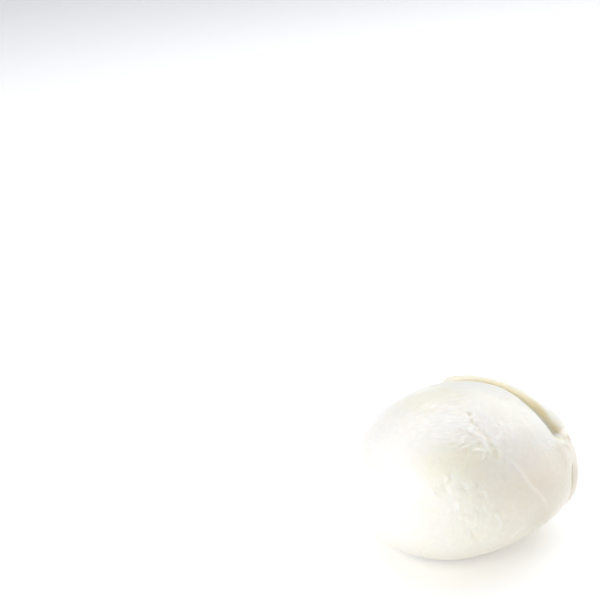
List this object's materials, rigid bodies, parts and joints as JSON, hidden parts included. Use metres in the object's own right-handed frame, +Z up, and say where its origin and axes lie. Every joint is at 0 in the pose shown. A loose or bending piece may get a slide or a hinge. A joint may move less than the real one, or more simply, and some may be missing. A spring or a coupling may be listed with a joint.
{
  "type": "mozzarella ball",
  "caption": "Hand-torn ball of soft white mozzarella, slightly flattened where it rests, with the pinched skin standing up as a low collar behind an open fold.",
  "frame": {"origin": "on the table under the middle of the ball's bounding box", "axes": "+Z up, +X along the ball's longest side, towards the fold's torn corner, and -Y the front"},
  "size_m": [0.0902, 0.0808, 0.0645],
  "materials": {
    "curd": "moist satin"
  },
  "bodies": {
    "root": {"mozzarella_ball": "curd"}
  },
  "joints": []
}
